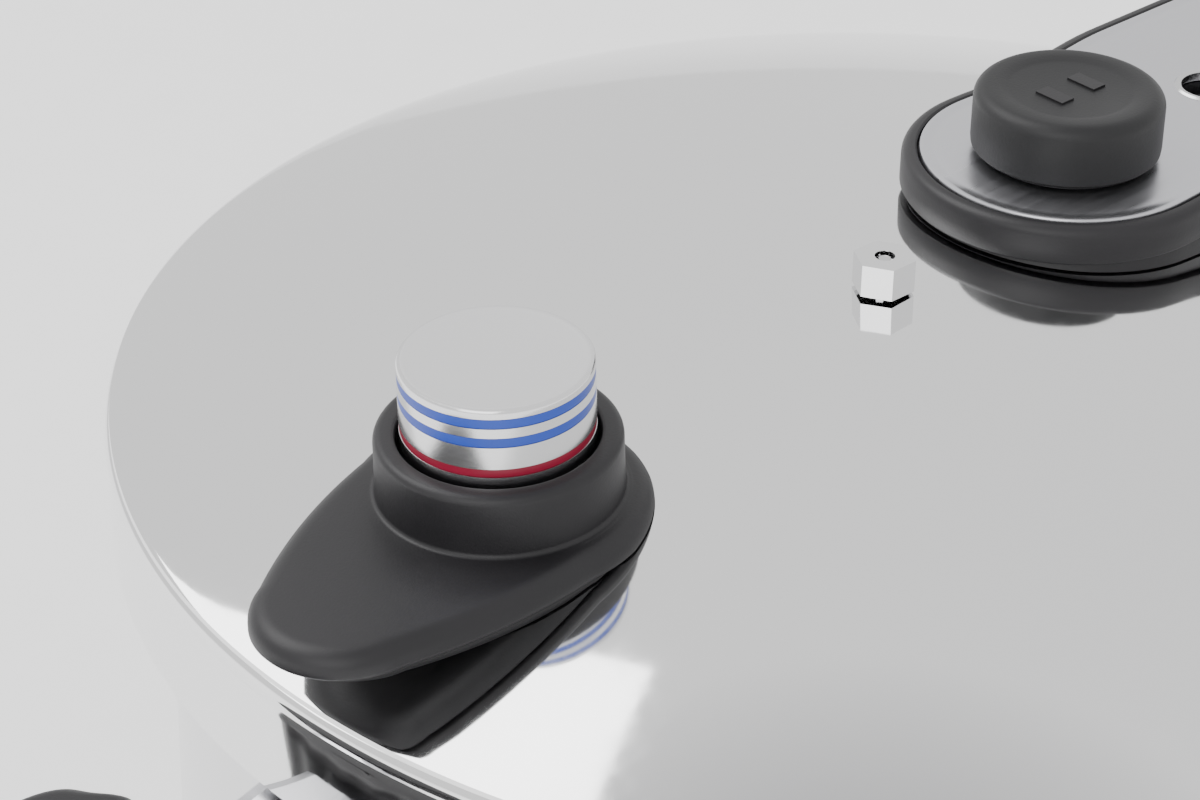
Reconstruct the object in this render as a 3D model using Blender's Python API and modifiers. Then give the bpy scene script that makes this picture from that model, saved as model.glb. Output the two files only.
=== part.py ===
"""Stovetop pressure cooker with a bayonet lid, a long two-part handle and a raised pressure indicator.

Metres, +Z up. The origin is the centre of the base's underside, +X points along the long handle.
"""

from math import cos, hypot, pi, radians, sin

import bmesh
import bpy
from mathutils import Matrix, Vector

# Driving dimensions
GAP = 0.0003            # clearance between neighbours that touch
STEPS = 48              # facets round the pot and the lid
LID_R = 0.1195          # outer radius of the lid's top
LID_T = 0.0015          # lid sheet
DOME_H = 0.0215         # rise of the lid's centre over its rim
RIM_Z = 0.165           # height of the lid's rim plane
SKIRT_H = 0.019         # depth of the lid's skirt
POT_R = 0.1112          # outer radius of the pot wall
POT_T = 0.0012          # pot sheet
BASE_R = 0.095          # radius of the sandwich base
BASE_H = 0.0062         # height of the sandwich base
LUGS = 6                # bayonet lugs
DOME_RADII = [0.0, 0.015, 0.030, 0.045, 0.060, 0.075, 0.090, 0.102, 0.111, 0.1165]

KNOB_X = 0.030          # axis of the selector knob and of the bolt that holds the handle
VALVE_X = -0.0816       # origin of the indicator's frame
VALVE_Z = RIM_Z + 0.0097
VALVE_LEAN = radians(2.75)   # the indicator leans outward
SAFETY_XY = (-0.0115, -0.0028)
BUTTON_R = 0.0132
HOUSING_TURN = radians(190)  # direction of the housing's long axis, seen from above

ARM_TOP = RIM_Z + 0.0283     # top of the handle over the lid
ARM_LOW = RIM_Z + 0.0098     # underside of the handle over the lid's rim
GRIP_TOP = RIM_Z + 0.012     # top of the handle's grip end
GRIP_LOW = RIM_Z - 0.006     # underside of the grip end
ARM_END = 0.285
PLATE_LIP = 0.0023           # black lip round the metal top plate

# Plan half-widths of the upper handle: (x, half-width)
ARM_WIDTHS = [(KNOB_X, 0.0244), (0.040, 0.0240), (0.066, 0.0267), (0.088, 0.0267),
              (0.142, 0.0185), (0.178, 0.0155), (0.255, 0.0158), (0.273, 0.0150)]
POT_GRIP_WIDTHS = [(0.1293, 0.0110), (0.150, 0.0140), (0.178, 0.0150), (0.255, 0.0158), (0.273, 0.0150)]


# Scene and materials

def clear_scene():
    for obj in list(bpy.data.objects):
        bpy.data.objects.remove(obj, do_unlink=True)


def new_collection(name, hidden=False):
    made = bpy.data.collections.new(name)
    bpy.context.scene.collection.children.link(made)
    made.hide_render = hidden
    return made


def new_material(name, color, metallic, roughness):
    made = bpy.data.materials.new(name)
    made.use_nodes = True
    shader = made.node_tree.nodes["Principled BSDF"]
    shader.inputs["Base Color"].default_value = (*color, 1.0)
    shader.inputs["Metallic"].default_value = metallic
    shader.inputs["Roughness"].default_value = roughness
    return made


clear_scene()
PARTS = new_collection("pressure_cooker")
CUTTERS = new_collection("cutters", hidden=True)

STEEL = new_material("polished_steel", (0.66, 0.66, 0.67), 1.0, 0.12)
SATIN = new_material("satin_steel", (0.60, 0.60, 0.63), 1.0, 0.34)
ALUMINIUM = new_material("satin_aluminium", (0.74, 0.75, 0.76), 1.0, 0.30)
BLACK = new_material("black_plastic", (0.022, 0.021, 0.024), 0.0, 0.46)
SILICONE = new_material("grey_silicone", (0.16, 0.16, 0.17), 0.0, 0.70)
CORE = new_material("raw_aluminium", (0.62, 0.62, 0.62), 1.0, 0.45)


# Modelling helpers

def place(name, mesh, material=None, parent=None):
    """An object made of this mesh: a part when it has a material, a cutter otherwise."""
    obj = bpy.data.objects.new(name, mesh)
    if material is None:
        CUTTERS.objects.link(obj)
        obj.hide_render = True
        obj.display_type = "WIRE"
    else:
        PARTS.objects.link(obj)
        mesh.materials.append(material)
        mesh.shade_smooth()
        mesh.set_sharp_from_angle(angle=radians(35))
    obj.parent = parent
    return obj


def turned(name, profile, material=None, steps=24, parent=None, at=(0.0, 0.0, 0.0), ring=False):
    """A profile of (radius, z) points turned round Z, running down its outer side."""
    points = [(max(r, 0.0), 0.0, z) for r, z in profile]
    count = len(points)
    edges = [(i, (i + 1) % count) for i in range(count if ring else count - 1)]
    mesh = bpy.data.meshes.new(name)
    mesh.from_pydata(points, edges, [])
    obj = place(name, mesh, material, parent)
    obj.location = at
    screw = obj.modifiers.new("turn", "SCREW")
    screw.steps = steps
    screw.render_steps = steps
    screw.use_merge_vertices = True
    screw.merge_threshold = 0.00001
    return obj


def rod(name, radius, top, bottom, material=None, steps=24, parent=None, at=(0.0, 0.0, 0.0)):
    return turned(name, [(0, top), (radius, top), (radius, bottom), (0, bottom)], material, steps, parent, at)


def tube(name, outer, inner, top, bottom, material=None, steps=24, parent=None, at=(0.0, 0.0, 0.0)):
    profile = [(inner, top), (outer, top), (outer, bottom), (inner, bottom)]
    return turned(name, profile, material, steps, parent, at, ring=True)


def curve_mesh(name, curve):
    """The mesh that a curve gives, with its caps welded."""
    guide = bpy.data.objects.new(name + "_guide", curve)
    CUTTERS.objects.link(guide)
    bpy.context.view_layer.update()
    graph = bpy.context.evaluated_depsgraph_get()
    mesh = bpy.data.meshes.new_from_object(guide.evaluated_get(graph))
    bpy.data.objects.remove(guide, do_unlink=True)
    bm = bmesh.new()
    bm.from_mesh(mesh)
    bmesh.ops.remove_doubles(bm, verts=bm.verts, dist=0.000002)
    bmesh.ops.recalc_face_normals(bm, faces=bm.faces)
    bm.to_mesh(mesh)
    bm.free()
    mesh.name = name
    return mesh


def plate(name, outline, low, high, material=None, upright=False, parent=None):
    """A flat outline given a thickness from low to high, along Z, or along Y when upright."""
    curve = bpy.data.curves.new(name, "CURVE")
    curve.dimensions = "2D"
    curve.fill_mode = "BOTH"
    curve.extrude = (high - low) / 2
    spline = curve.splines.new("POLY")
    spline.points.add(len(outline) - 1)
    spline.use_cyclic_u = True
    for point, (x, y) in zip(spline.points, outline):
        point.co = (x, y, 0.0, 1.0)
    mesh = curve_mesh(name, curve)
    middle = (high + low) / 2
    if upright:
        mesh.transform(Matrix.Translation((0, middle, 0)) @ Matrix.Rotation(pi / 2, 4, "X"))
    else:
        mesh.transform(Matrix.Translation((0, 0, middle)))
    return place(name, mesh, material, parent)


def hex_nut(name, corner_r, bore_r, top, bottom, material, parent=None, at=(0.0, 0.0, 0.0)):
    """A hexagon with a round bore."""
    nut = rod(name, corner_r, top, bottom, material, 6, parent, at)
    return cut(nut, rod(name + "_bore", bore_r, top + 0.002, bottom - 0.002, None, 20, parent, at))


def loft(name, rings, material=None, parent=None):
    """A closed skin over rings of equal point counts, from the lowest to the highest."""
    bm = bmesh.new()
    loops = [[bm.verts.new(point) for point in ring] for ring in rings]
    count = len(rings[0])
    for low, high in zip(loops, loops[1:]):
        for i in range(count):
            j = (i + 1) % count
            bm.faces.new((low[i], low[j], high[j], high[i]))
    bm.faces.new(list(reversed(loops[0])))
    bm.faces.new(loops[-1])
    bmesh.ops.recalc_face_normals(bm, faces=bm.faces)
    mesh = bpy.data.meshes.new(name)
    bm.to_mesh(mesh)
    bm.free()
    return place(name, mesh, material, parent)


def block(name, low, high, material=None, parent=None):
    """A box between two corners."""
    bm = bmesh.new()
    size = Vector(high) - Vector(low)
    middle = (Vector(high) + Vector(low)) / 2
    bmesh.ops.create_cube(bm, size=1.0, matrix=Matrix.Translation(middle) @ Matrix.Diagonal((*size, 1.0)))
    mesh = bpy.data.meshes.new(name)
    bm.to_mesh(mesh)
    bm.free()
    return place(name, mesh, material, parent)


def boolean(target, other, operation):
    modifier = target.modifiers.new(operation.lower(), "BOOLEAN")
    modifier.operation = operation
    modifier.object = other
    return target


def cut(target, *others):
    for other in others:
        boolean(target, other, "DIFFERENCE")
    return target


def join(target, *others):
    for other in others:
        boolean(target, other, "UNION")
    return target


def coil(name, radius, wire, bottom, top, turns, material, parent=None, at=(0.0, 0.0, 0.0)):
    """A compression spring along Z."""
    per_turn = 8
    curve = bpy.data.curves.new(name, "CURVE")
    curve.dimensions = "3D"
    curve.bevel_depth = wire / 2
    curve.bevel_resolution = 2
    curve.use_fill_caps = True
    spline = curve.splines.new("POLY")
    count = turns * per_turn + 1
    spline.points.add(count - 1)
    rise = top - bottom - wire
    for i, point in enumerate(spline.points):
        angle = 2 * pi * i / per_turn
        height = bottom + wire / 2 + rise * i / (count - 1)
        point.co = (radius * cos(angle), radius * sin(angle), height, 1.0)
    obj = place(name, curve_mesh(name, curve), material, parent)
    obj.location = at
    return obj


# Shared shapes

def dome_z(r):
    """Height of the lid's upper surface at a radius."""
    return RIM_Z + DOME_H * (1 - (r / LID_R) ** 2)


def above_lid(name):
    """A cutter that leaves a part standing just clear of the lid's upper surface."""
    profile = [(r, dome_z(r) + GAP) for r in DOME_RADII]
    profile += [(0.1189, RIM_Z + 0.0004), (0.140, RIM_Z + 0.0004), (0.140, RIM_Z - 0.05), (0.0, RIM_Z - 0.05)]
    return turned(name, profile, None, STEPS)


def under_lid(name):
    """A cutter that leaves a part hanging just clear of the lid's lower surface."""
    profile = [(0.0, RIM_Z + 0.05), (0.1165, RIM_Z + 0.05)]
    profile += [(r, dome_z(r) - LID_T - GAP) for r in reversed(DOME_RADII)]
    return turned(name, profile, None, STEPS)


def smooth_through(stations, x):
    """A value that eases from station to station."""
    if x <= stations[0][0]:
        return stations[0][1]
    for (x0, y0), (x1, y1) in zip(stations, stations[1:]):
        if x <= x1:
            t = (x - x0) / (x1 - x0)
            return y0 + (y1 - y0) * t * t * (3 - 2 * t)
    return stations[-1][1]


def arc(cx, cy, r, start, end, count):
    angles = [radians(start + (end - start) * i / count) for i in range(count + 1)]
    return [(cx + r * cos(a), cy + r * sin(a)) for a in angles]


def spread(low, high, count):
    return [low + (high - low) * i / count for i in range(count + 1)]


def arm_outline(inset=0.0):
    """Plan of the upper handle: round about the knob, a wide shoulder, then a slim grip."""
    points = arc(KNOB_X, 0, ARM_WIDTHS[0][1] - inset, 90, 270, 14)
    xs = spread(0.040, 0.092, 6) + spread(0.103, 0.178, 6) + [0.215, 0.255]
    points += [(x, -(smooth_through(ARM_WIDTHS, x) - inset)) for x in xs]
    r = ARM_WIDTHS[-1][1] - inset
    end_x = ARM_END - inset - r
    points += arc(end_x, 0, r, -80, 80, 8)
    points += [(x, smooth_through(ARM_WIDTHS, x) - inset) for x in reversed(xs)]
    return points


def pot_grip_outline():
    xs = spread(0.1293, 0.178, 6) + [0.215, 0.255]
    points = [(x, -smooth_through(POT_GRIP_WIDTHS, x)) for x in xs]
    r = POT_GRIP_WIDTHS[-1][1]
    points += arc(ARM_END - r, 0, r, -80, 80, 8)
    return points + [(x, smooth_through(POT_GRIP_WIDTHS, x)) for x in reversed(xs)]


def arm_top(x):
    return smooth_through([(0.100, ARM_TOP), (0.170, GRIP_TOP)], x)


def arm_low(x):
    return smooth_through([(0.045, RIM_Z + 0.0150), (0.095, ARM_LOW), (0.114, ARM_LOW), (0.150, GRIP_LOW)], x)


def arm_split(x):
    """Height of the parting line between the handle's upper and lower shells."""
    return smooth_through([(0.050, RIM_Z + 0.0222), (0.100, RIM_Z + 0.0180), (0.165, RIM_Z + 0.0019)], x)


def side_band(name, lower, upper):
    """A wide solid between two height curves along the handle, to be kept where it meets the plan."""
    xs = [-0.02] + spread(0.045, 0.095, 5) + spread(0.104, 0.170, 9) + [0.31]
    outline = [(x, lower(x)) for x in xs] + [(x, upper(x)) for x in reversed(xs)]
    return plate(name, outline, -0.04, 0.04, upright=True)


# Pot

def lug_ring(name, inner, outer, low, high, start, width):
    """A ring cut down to evenly spaced lugs: the union of short curved blocks."""
    made = None
    for i in range(LUGS):
        middle = start + 360 / LUGS * i
        outline = arc(0, 0, outer, middle - width / 2, middle + width / 2, 4)
        outline += arc(0, 0, inner, middle + width / 2, middle - width / 2, 4)
        lug = plate(f"{name}_{i}", outline, low, high)
        made = lug if made is None else join(made, lug)
    return made


def make_pot():
    lip_z = RIM_Z - 0.0066
    floor = BASE_H + GAP
    profile = [(POT_R - POT_T, lip_z), (POT_R + 0.0014, lip_z), (POT_R + 0.0016, lip_z - 0.0014),
               (POT_R, lip_z - 0.0022), (POT_R, floor + 0.012)]
    profile += arc(POT_R - 0.011, floor + 0.011, 0.011, -15, -90, 4)
    profile += [(0.0, floor), (0.0, floor + POT_T)]
    inner_r = 0.011 - POT_T
    profile += arc(POT_R - 0.011, floor + 0.011, inner_r, -90, 0, 4)
    pot = turned("pot_body", profile, STEEL, STEPS, ring=True)
    flange = tube("pot_flange", POT_R + 0.0024, POT_R - 0.0006, RIM_Z - 0.0145, RIM_Z - 0.0165, steps=STEPS)
    lugs = lug_ring("pot_lug", POT_R + 0.0010, POT_R + 0.0039, RIM_Z - 0.0165, RIM_Z - 0.0145, 0, 24)
    join(pot, flange, lugs)


def make_base():
    wall = 0.0007
    cap = [(0.0, wall), (BASE_R - 0.0022, wall), (BASE_R - wall, 0.0022), (BASE_R - wall, BASE_H),
           (BASE_R, BASE_H), (BASE_R, 0.0018), (BASE_R - 0.0018, 0.0), (0.0, 0.0)]
    turned("base_cap", cap, SATIN, STEPS)
    core_low = wall + GAP + 0.0001
    core = [(0.0, BASE_H - GAP), (BASE_R - 0.0012, BASE_H - GAP), (BASE_R - 0.0012, 0.0028),
            (BASE_R - 0.0026, core_low), (0.0, core_low)]
    turned("base_core", core, CORE, STEPS)


def sleeve_rings(x0, half0, low0, high0, x1, half1, low1, high1):
    """Two upright rounded sections of a tapered handle socket."""
    rings = []
    for x, half, low, high in ((x0, half0, low0, high0), (x1, half1, low1, high1)):
        corner = 0.004
        middle = (low + high) / 2
        rise = (high - low) / 2 - corner
        ring = []
        for sy, sz, start in ((1, 1, 0), (-1, 1, 90), (-1, -1, 180), (1, -1, 270)):
            ring += [(x, sy * (half - corner) + y, middle + sz * rise + z)
                     for y, z in arc(0, 0, corner, start, start + 90, 3)]
        rings.append(ring)
    return rings


def make_pot_handle():
    wall = POT_R + 0.0004
    socket = sleeve_rings(wall, 0.012, RIM_Z - 0.042, RIM_Z - 0.0197, 0.1290, 0.0095, RIM_Z - 0.038, RIM_Z - 0.0215)
    ferrule = loft("pot_handle_ferrule", socket, SATIN)
    tail = block("ferrule_tail", (0.1280, -0.004, RIM_Z - 0.033), (0.1500, 0.004, RIM_Z - 0.025))
    join(ferrule, tail)
    grip = plate("pot_handle_grip", pot_grip_outline(), RIM_Z - 0.06, RIM_Z + 0.02, BLACK)

    def top(x):
        return smooth_through([(0.129, RIM_Z - 0.0200), (0.152, GRIP_LOW - 0.0005)], x)

    def low(x):
        return smooth_through([(0.129, RIM_Z - 0.0400), (0.185, RIM_Z - 0.0240)], x)

    xs = spread(0.120, 0.190, 10) + [0.30]
    outline = [(x, low(x)) for x in xs] + [(x, top(x)) for x in reversed(xs)]
    boolean(grip, plate("pot_grip_side", outline, -0.04, 0.04, upright=True), "INTERSECT")
    pocket = block("tail_pocket", (0.1200, -0.0044, RIM_Z - 0.0334), (0.1506, 0.0044, RIM_Z - 0.0246))
    screw_x = 0.1400
    hole = rod("pot_screw_hole", 0.0036, RIM_Z - 0.0333, RIM_Z - 0.06, steps=16, at=(screw_x, 0, 0))
    cut(grip, pocket, hole)
    turned("pot_handle_screw", screw_profile(RIM_Z - 0.0333, 0.0032, 0.0030), SATIN, 16, at=(screw_x, 0, 0))


def screw_profile(top, head_r, height):
    """A round-headed screw seen from below: the shank's end is left out, only its head is held."""
    return [(0.0, top), (head_r * 0.55, top), (head_r, top - height * 0.5), (head_r, top - height * 0.8),
            (head_r * 0.8, top - height), (0.0, top - height)]


def helper_outline(inset=0.0):
    """Plan of the helper grip: a rounded tab with shallow scallops on its inner side."""
    centre, depth, half = -0.1473, 0.0157 - inset, 0.0250 - inset
    points = []
    for i in range(40):
        a = 2 * pi * i / 40
        c, s = cos(a), sin(a)
        x = depth * abs(c) ** 0.75 * (1 if c > 0 else -1)
        y = half * abs(s) ** 0.75 * (1 if s > 0 else -1)
        points.append((centre + x, y))
    return points


def make_helper():
    wall = -(POT_R + 0.0004)
    socket = sleeve_rings(wall, 0.011, RIM_Z - 0.040, RIM_Z - 0.0197, -0.1290, 0.0075, RIM_Z - 0.034, RIM_Z - 0.0205)
    ferrule = loft("helper_ferrule", socket, SATIN)
    tail = block("helper_tail", (-0.1480, -0.004, RIM_Z - 0.030), (-0.1280, 0.004, RIM_Z - 0.024))
    join(ferrule, tail)
    levels = [(0.0022, -0.0355), (0.0004, -0.0335), (0.0, -0.0300), (0.0, -0.0230), (0.0007, -0.0200), (0.0024, -0.0185)]
    rings = [[(x, y, RIM_Z + z) for x, y in helper_outline(inset)] for inset, z in levels]
    grip = loft("helper_grip", rings, BLACK)
    pocket = block("helper_pocket", (-0.1486, -0.0044, RIM_Z - 0.0304), (-0.1200, 0.0044, RIM_Z - 0.0236))
    screw_x = -0.1430
    hole = rod("helper_screw_hole", 0.0036, RIM_Z - 0.0303, RIM_Z - 0.06, steps=16, at=(screw_x, 0, 0))
    cut(grip, pocket, hole)
    turned("helper_screw", screw_profile(RIM_Z - 0.0303, 0.0032, 0.0030), SATIN, 16, at=(screw_x, 0, 0))


# Lid

def make_lid():
    profile = [(r, dome_z(r)) for r in DOME_RADII]
    profile += [(0.1186, RIM_Z + 0.0001), (0.1194, RIM_Z - 0.0007), (0.1199, RIM_Z - 0.0022), (0.1199, RIM_Z - 0.0036),
                (0.1196, RIM_Z - 0.0046), (LID_R, RIM_Z - SKIRT_H), (LID_R - 0.0014, RIM_Z - SKIRT_H),
                (LID_R - 0.0014, RIM_Z - 0.0045), (0.1168, RIM_Z - 0.0018)]
    profile += [(r, dome_z(r) - LID_T) for r in reversed(DOME_RADII[:-1])]
    lid = turned("lid_shell", profile, STEEL, STEPS)
    lugs = lug_ring("lid_lug", POT_R + 0.0044, LID_R - 0.0008, RIM_Z - SKIRT_H, RIM_Z - SKIRT_H + 0.0016, 0, 24)
    join(lid, lugs)
    for name, radius, x, y in (("bolt_hole", 0.0064, KNOB_X, 0), ("safety_hole", 0.0029, *SAFETY_XY)):
        cut(lid, rod(name, radius, RIM_Z + 0.03, RIM_Z - 0.02, steps=20, at=(x, y, 0)))
    cut(lid, rod("valve_hole", 0.0054, 0.01, -0.01, steps=20, parent=valve_frame()))


def make_gasket():
    """The sealing ring under the lid's rim, with a lip that the steam presses outward."""
    top = RIM_Z - 0.0008
    profile = [(0.1075, top - 0.0006), (0.1140, top - 0.0009), (0.1160, top - 0.0022), (0.1160, RIM_Z - 0.0063),
               (0.1092, RIM_Z - 0.0063), (0.1075, RIM_Z - 0.0045)]
    turned("sealing_gasket", profile, SILICONE, STEPS, ring=True)


# Pressure indicator, in a frame that leans outward

def valve_frame():
    """The indicator's frame: its Z is the direction in which the button travels."""
    name = "indicator_axis"
    if name in bpy.data.objects:
        return bpy.data.objects[name]
    empty = bpy.data.objects.new(name, None)
    PARTS.objects.link(empty)
    empty.location = (VALVE_X, 0.0, VALVE_Z)
    empty.rotation_euler = (0.0, -VALVE_LEAN, 0.0)
    return empty


def egg(inset, z, draw=0.0):
    """The housing's plan at a height: a circle about the button and a rounded nose, drawn back by some."""
    big_r, nose_r, nose_u = 0.0209, 0.0126, 0.0320 - draw
    lean = (big_r - nose_r) / nose_u
    open_angle = pi / 2 - lean
    count = 17
    ring = []
    for i in range(2 * count + 1):
        a = open_angle + (2 * pi - 2 * open_angle) * i / (2 * count)
        ring.append(((big_r - inset) * cos(a), (big_r - inset) * sin(a)))
    sides = 5
    bulge = 0.0014

    def side(sign):
        start = Vector(((big_r - inset) * cos(open_angle), sign * (big_r - inset) * sin(open_angle)))
        end = Vector((nose_u + (nose_r - inset) * cos(open_angle), sign * (nose_r - inset) * sin(open_angle)))
        normal = Vector((cos(open_angle), sign * sin(open_angle)))
        return [tuple(start.lerp(end, k / sides) + normal * bulge * 4 * (k / sides) * (1 - k / sides))
                for k in range(1, sides)]

    ring += side(-1)
    for i in range(13):
        a = -open_angle + 2 * open_angle * i / 12
        ring.append((nose_u + (nose_r - inset) * cos(a), (nose_r - inset) * sin(a)))
    ring += list(reversed(side(1)))
    turn = Matrix.Rotation(HOUSING_TURN, 2)
    return [(*(turn @ Vector(point)), z) for point in ring]


def make_housing():
    frame = valve_frame()
    split, top = 0.0020, 0.0060
    outer = [(0.0004, split), (0.0, split + 0.0005), (0.0, top - 0.0026), (0.0006, top - 0.0013),
             (0.0017, top - 0.0004), (0.0032, top)]
    upper = loft("housing_upper_shell", [egg(inset, z) for inset, z in outer], BLACK, frame)
    collar_top = 0.0152
    collar = [(0.0, collar_top), (0.0152, collar_top), (0.0163, collar_top - 0.0005), (0.0168, collar_top - 0.0016),
              (0.0169, top + 0.0020), (0.0172, top + 0.0007), (0.0176, top - 0.0006), (0.0, top - 0.0006)]
    join(upper, turned("collar", collar, None, 48, frame))
    hollow = loft("upper_hollow", [egg(0.0020, split - 0.002), egg(0.0020, top - 0.0030), egg(0.0040, top - 0.0018)],
                  None, frame)
    bore = rod("collar_bore", 0.0138, 0.03, split - 0.004, None, 48, frame)
    cut(upper, hollow, bore, above_lid("upper_shell_foot"))
    walls = [(0.0046, -0.0018, 0.0040), (0.0028, -0.0014, 0.0030), (0.0012, 0.0002, 0.0021),
             (0.0005, split - GAP, 0.0014)]
    lower = loft("housing_lower_shell", [egg(*wall) for wall in walls], BLACK, frame)
    inside = [(0.0056, -0.0003, 0.0040), (0.0030, 0.0008, 0.0022), (0.0023, 0.0040, 0.0014)]
    cut(lower, loft("lower_hollow", [egg(*wall) for wall in inside], None, frame), above_lid("lower_shell_foot"))


def make_indicator():
    frame = valve_frame()
    top, low = 0.0265, 0.0138
    button = [(0.0, top), (0.0122, top), (0.0130, top - 0.0005), (BUTTON_R, top - 0.0010), (BUTTON_R, low),
              (0.0117, low), (0.0117, top - 0.0022), (0.0, top - 0.0022)]
    turned("indicator_button", button, ALUMINIUM, 48, frame)
    stem = [(0.0, top - 0.0025), (0.0030, top - 0.0025), (0.0030, top - 0.0040), (0.0022, top - 0.0040),
            (0.0022, -0.0105), (0.0, -0.0105)]
    turned("indicator_stem", stem, SATIN, 20, frame)
    tube("indicator_seal", 0.0046, 0.0025, -0.0083, -0.0100, SILICONE, 20, frame)
    coil("indicator_spring", 0.0050, 0.0009, 0.0044, 0.0239, 4, SATIN, frame)
    sleeve = [(0.0026, 0.0041), (0.0062, 0.0041), (0.0062, 0.0033), (0.0049, 0.0033), (0.0049, -0.0080),
              (0.0026, -0.0080)]
    turned("valve_sleeve", sleeve, SATIN, 20, frame, ring=True)
    seal = tube("valve_seal", 0.0085, 0.0052, 0.0040, -0.0031, SILICONE, 24, frame)
    cut(seal, under_lid("valve_seal_top"))
    hex_nut("valve_nut", 0.0098, 0.0053, -0.0034, -0.0074, SATIN, frame)


# Safety valve

def make_safety():
    x, y = SAFETY_XY
    base = dome_z(hypot(x, y) - 0.0046) + GAP
    at = (x, y, base)
    body = hex_nut("safety_valve_body", 0.0046, 0.0024, 0.0050, 0.0, SATIN, at=at)
    lip = tube("safety_lip", 0.0030, 0.0015, 0.0050, 0.0042, steps=16, at=at)
    shank = tube("safety_shank", 0.0026, 0.0012, 0.0010, -0.0071, steps=16, at=at)
    join(body, lip, shank)
    plunger = [(0.0, 0.0046), (0.0009, 0.0046), (0.0009, 0.0022), (0.0020, 0.0022), (0.0020, 0.0013), (0.0, 0.0013)]
    turned("safety_plunger", plunger, SATIN, 16, at=at)
    coil("safety_spring", 0.00155, 0.0004, 0.0024, 0.0040, 2, SATIN, at=at)
    tube("safety_seal", 0.0044, 0.0029, -0.0027, -0.0036, SILICONE, 16, at=at)
    hex_nut("safety_nut", 0.0050, 0.0029, -0.0039, -0.0066, SATIN, at=at)


# Lid handle

def make_arm():
    at = (KNOB_X, 0.0, 0.0)
    bore = rod("arm_bore", 0.0064, ARM_TOP + 0.02, ARM_LOW - 0.02, steps=24, at=at)
    upper = plate("handle_upper_shell", arm_outline(), ARM_LOW - 0.04, ARM_TOP + 0.03, BLACK)
    boolean(upper, side_band("upper_side", lambda x: arm_split(x) + 0.00015, arm_top), "INTERSECT")
    recess = plate("plate_recess", arm_outline(PLATE_LIP), ARM_LOW - 0.04, ARM_TOP + 0.03)
    boolean(recess, side_band("recess_side", lambda x: arm_top(x) - 0.0016, lambda x: arm_top(x) + 0.02), "INTERSECT")
    screw_hole = rod("recess_screw_hole", 0.0048, ARM_TOP + 0.02, ARM_TOP - 0.0060, steps=20, at=(0.0638, 0, 0))
    slot_low = GRIP_TOP - 0.0075
    pocket = block("lock_pocket", (0.1755, -0.0065, slot_low), (0.2220, 0.0065, GRIP_TOP + 0.02))
    cut(upper, recess, bore, screw_hole, pocket)

    lower = plate("handle_lower_shell", arm_outline(0.0008), ARM_LOW - 0.04, ARM_TOP + 0.03, BLACK)
    boolean(lower, side_band("lower_side", arm_low, lambda x: arm_split(x) - 0.00015), "INTERSECT")
    cut(lower, bore, above_lid("handle_foot"))

    top = plate("handle_top_plate", arm_outline(PLATE_LIP + GAP), ARM_LOW - 0.04, ARM_TOP + 0.03, SATIN)
    boolean(top, side_band("plate_side", lambda x: arm_top(x) - 0.0016 + GAP, lambda x: arm_top(x) + 0.0002), "INTERSECT")
    window = block("lock_window", (0.1840, -0.0060, slot_low), (0.2070, 0.0060, GRIP_TOP + 0.02))
    cut(top, bore, rod("plate_screw_hole", 0.0045, ARM_TOP + 0.02, ARM_TOP - 0.02, steps=20, at=(0.0638, 0, 0)), window)
    screw = [(0.0, -0.0030), (0.0036, -0.0030), (0.0041, -0.0036), (0.0041, -0.0056), (0.0, -0.0056)]
    turned("handle_screw", [(r, ARM_TOP + z) for r, z in screw], SATIN, 20, at=(0.0638, 0, 0))


def make_lock():
    low = GRIP_TOP - 0.0072
    slider = block("lock_slider", (0.1760, -0.0061, low), (0.1990, 0.0061, GRIP_TOP - 0.0020), BLACK)
    thumb = block("lock_thumb", (0.1850, -0.0055, GRIP_TOP - 0.003), (0.1960, 0.0055, GRIP_TOP + 0.0032))
    join(slider, thumb)
    spring = coil("lock_spring", 0.0017, 0.0006, 0.0, 0.0222, 5, SATIN, at=(0.1994, 0.0, GRIP_TOP - 0.0046))
    spring.rotation_euler = (0.0, pi / 2, 0.0)


def make_fixings():
    """The hollow bolt under the knob, its seal, and the bracket over the lid's rim."""
    at = (KNOB_X, 0.0, 0.0)
    seal_low = RIM_Z + 0.0162
    seal = tube("bolt_seal", 0.0110, 0.0064, RIM_Z + 0.0215, seal_low, SILICONE, 24, at=at)
    cut(seal, under_lid("bolt_seal_top"))
    head_top = seal_low - GAP
    bolt = [(0.0042, ARM_TOP - 0.0060), (0.0061, ARM_TOP - 0.0060), (0.0061, head_top), (0.0115, head_top),
            (0.0115, head_top - 0.0040), (0.0042, head_top - 0.0040)]
    turned("handle_bolt", bolt, SATIN, 24, at=at, ring=True)
    bracket = sleeve_rings(RIM_Z + 0.0005, 0.010, -0.112, -0.097, ARM_LOW - GAP, 0.012, -0.114, -0.095)
    rings = [[(-z, y, x) for x, y, z in ring] for ring in bracket]
    cut(loft("rim_bracket", rings, SATIN), above_lid("bracket_foot"))


def make_knob():
    at = (KNOB_X, 0.0, 0.0)
    plate_z = ARM_TOP + 0.0002
    knob = [(0.0, ARM_TOP + 0.0108), (0.0122, ARM_TOP + 0.0108), (0.0137, ARM_TOP + 0.0102), (0.0143, ARM_TOP + 0.0088),
            (0.0143, plate_z + 0.0010), (0.0128, plate_z + GAP), (0.0, plate_z + GAP)]
    body = turned("selector_knob", knob, BLACK, 48, at=at)
    socket = rod("knob_socket", 0.0036, ARM_TOP + 0.0060, ARM_TOP - 0.01, steps=20, at=at)
    cut(body, socket)
    rod("selector_spindle", 0.0033, ARM_TOP + 0.0057, RIM_Z + 0.0075, SATIN, 20, at=at)
    tube("spindle_clip", 0.0060, 0.0036, RIM_Z + 0.0098, RIM_Z + 0.0086, SATIN, 20, at=at)


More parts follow.
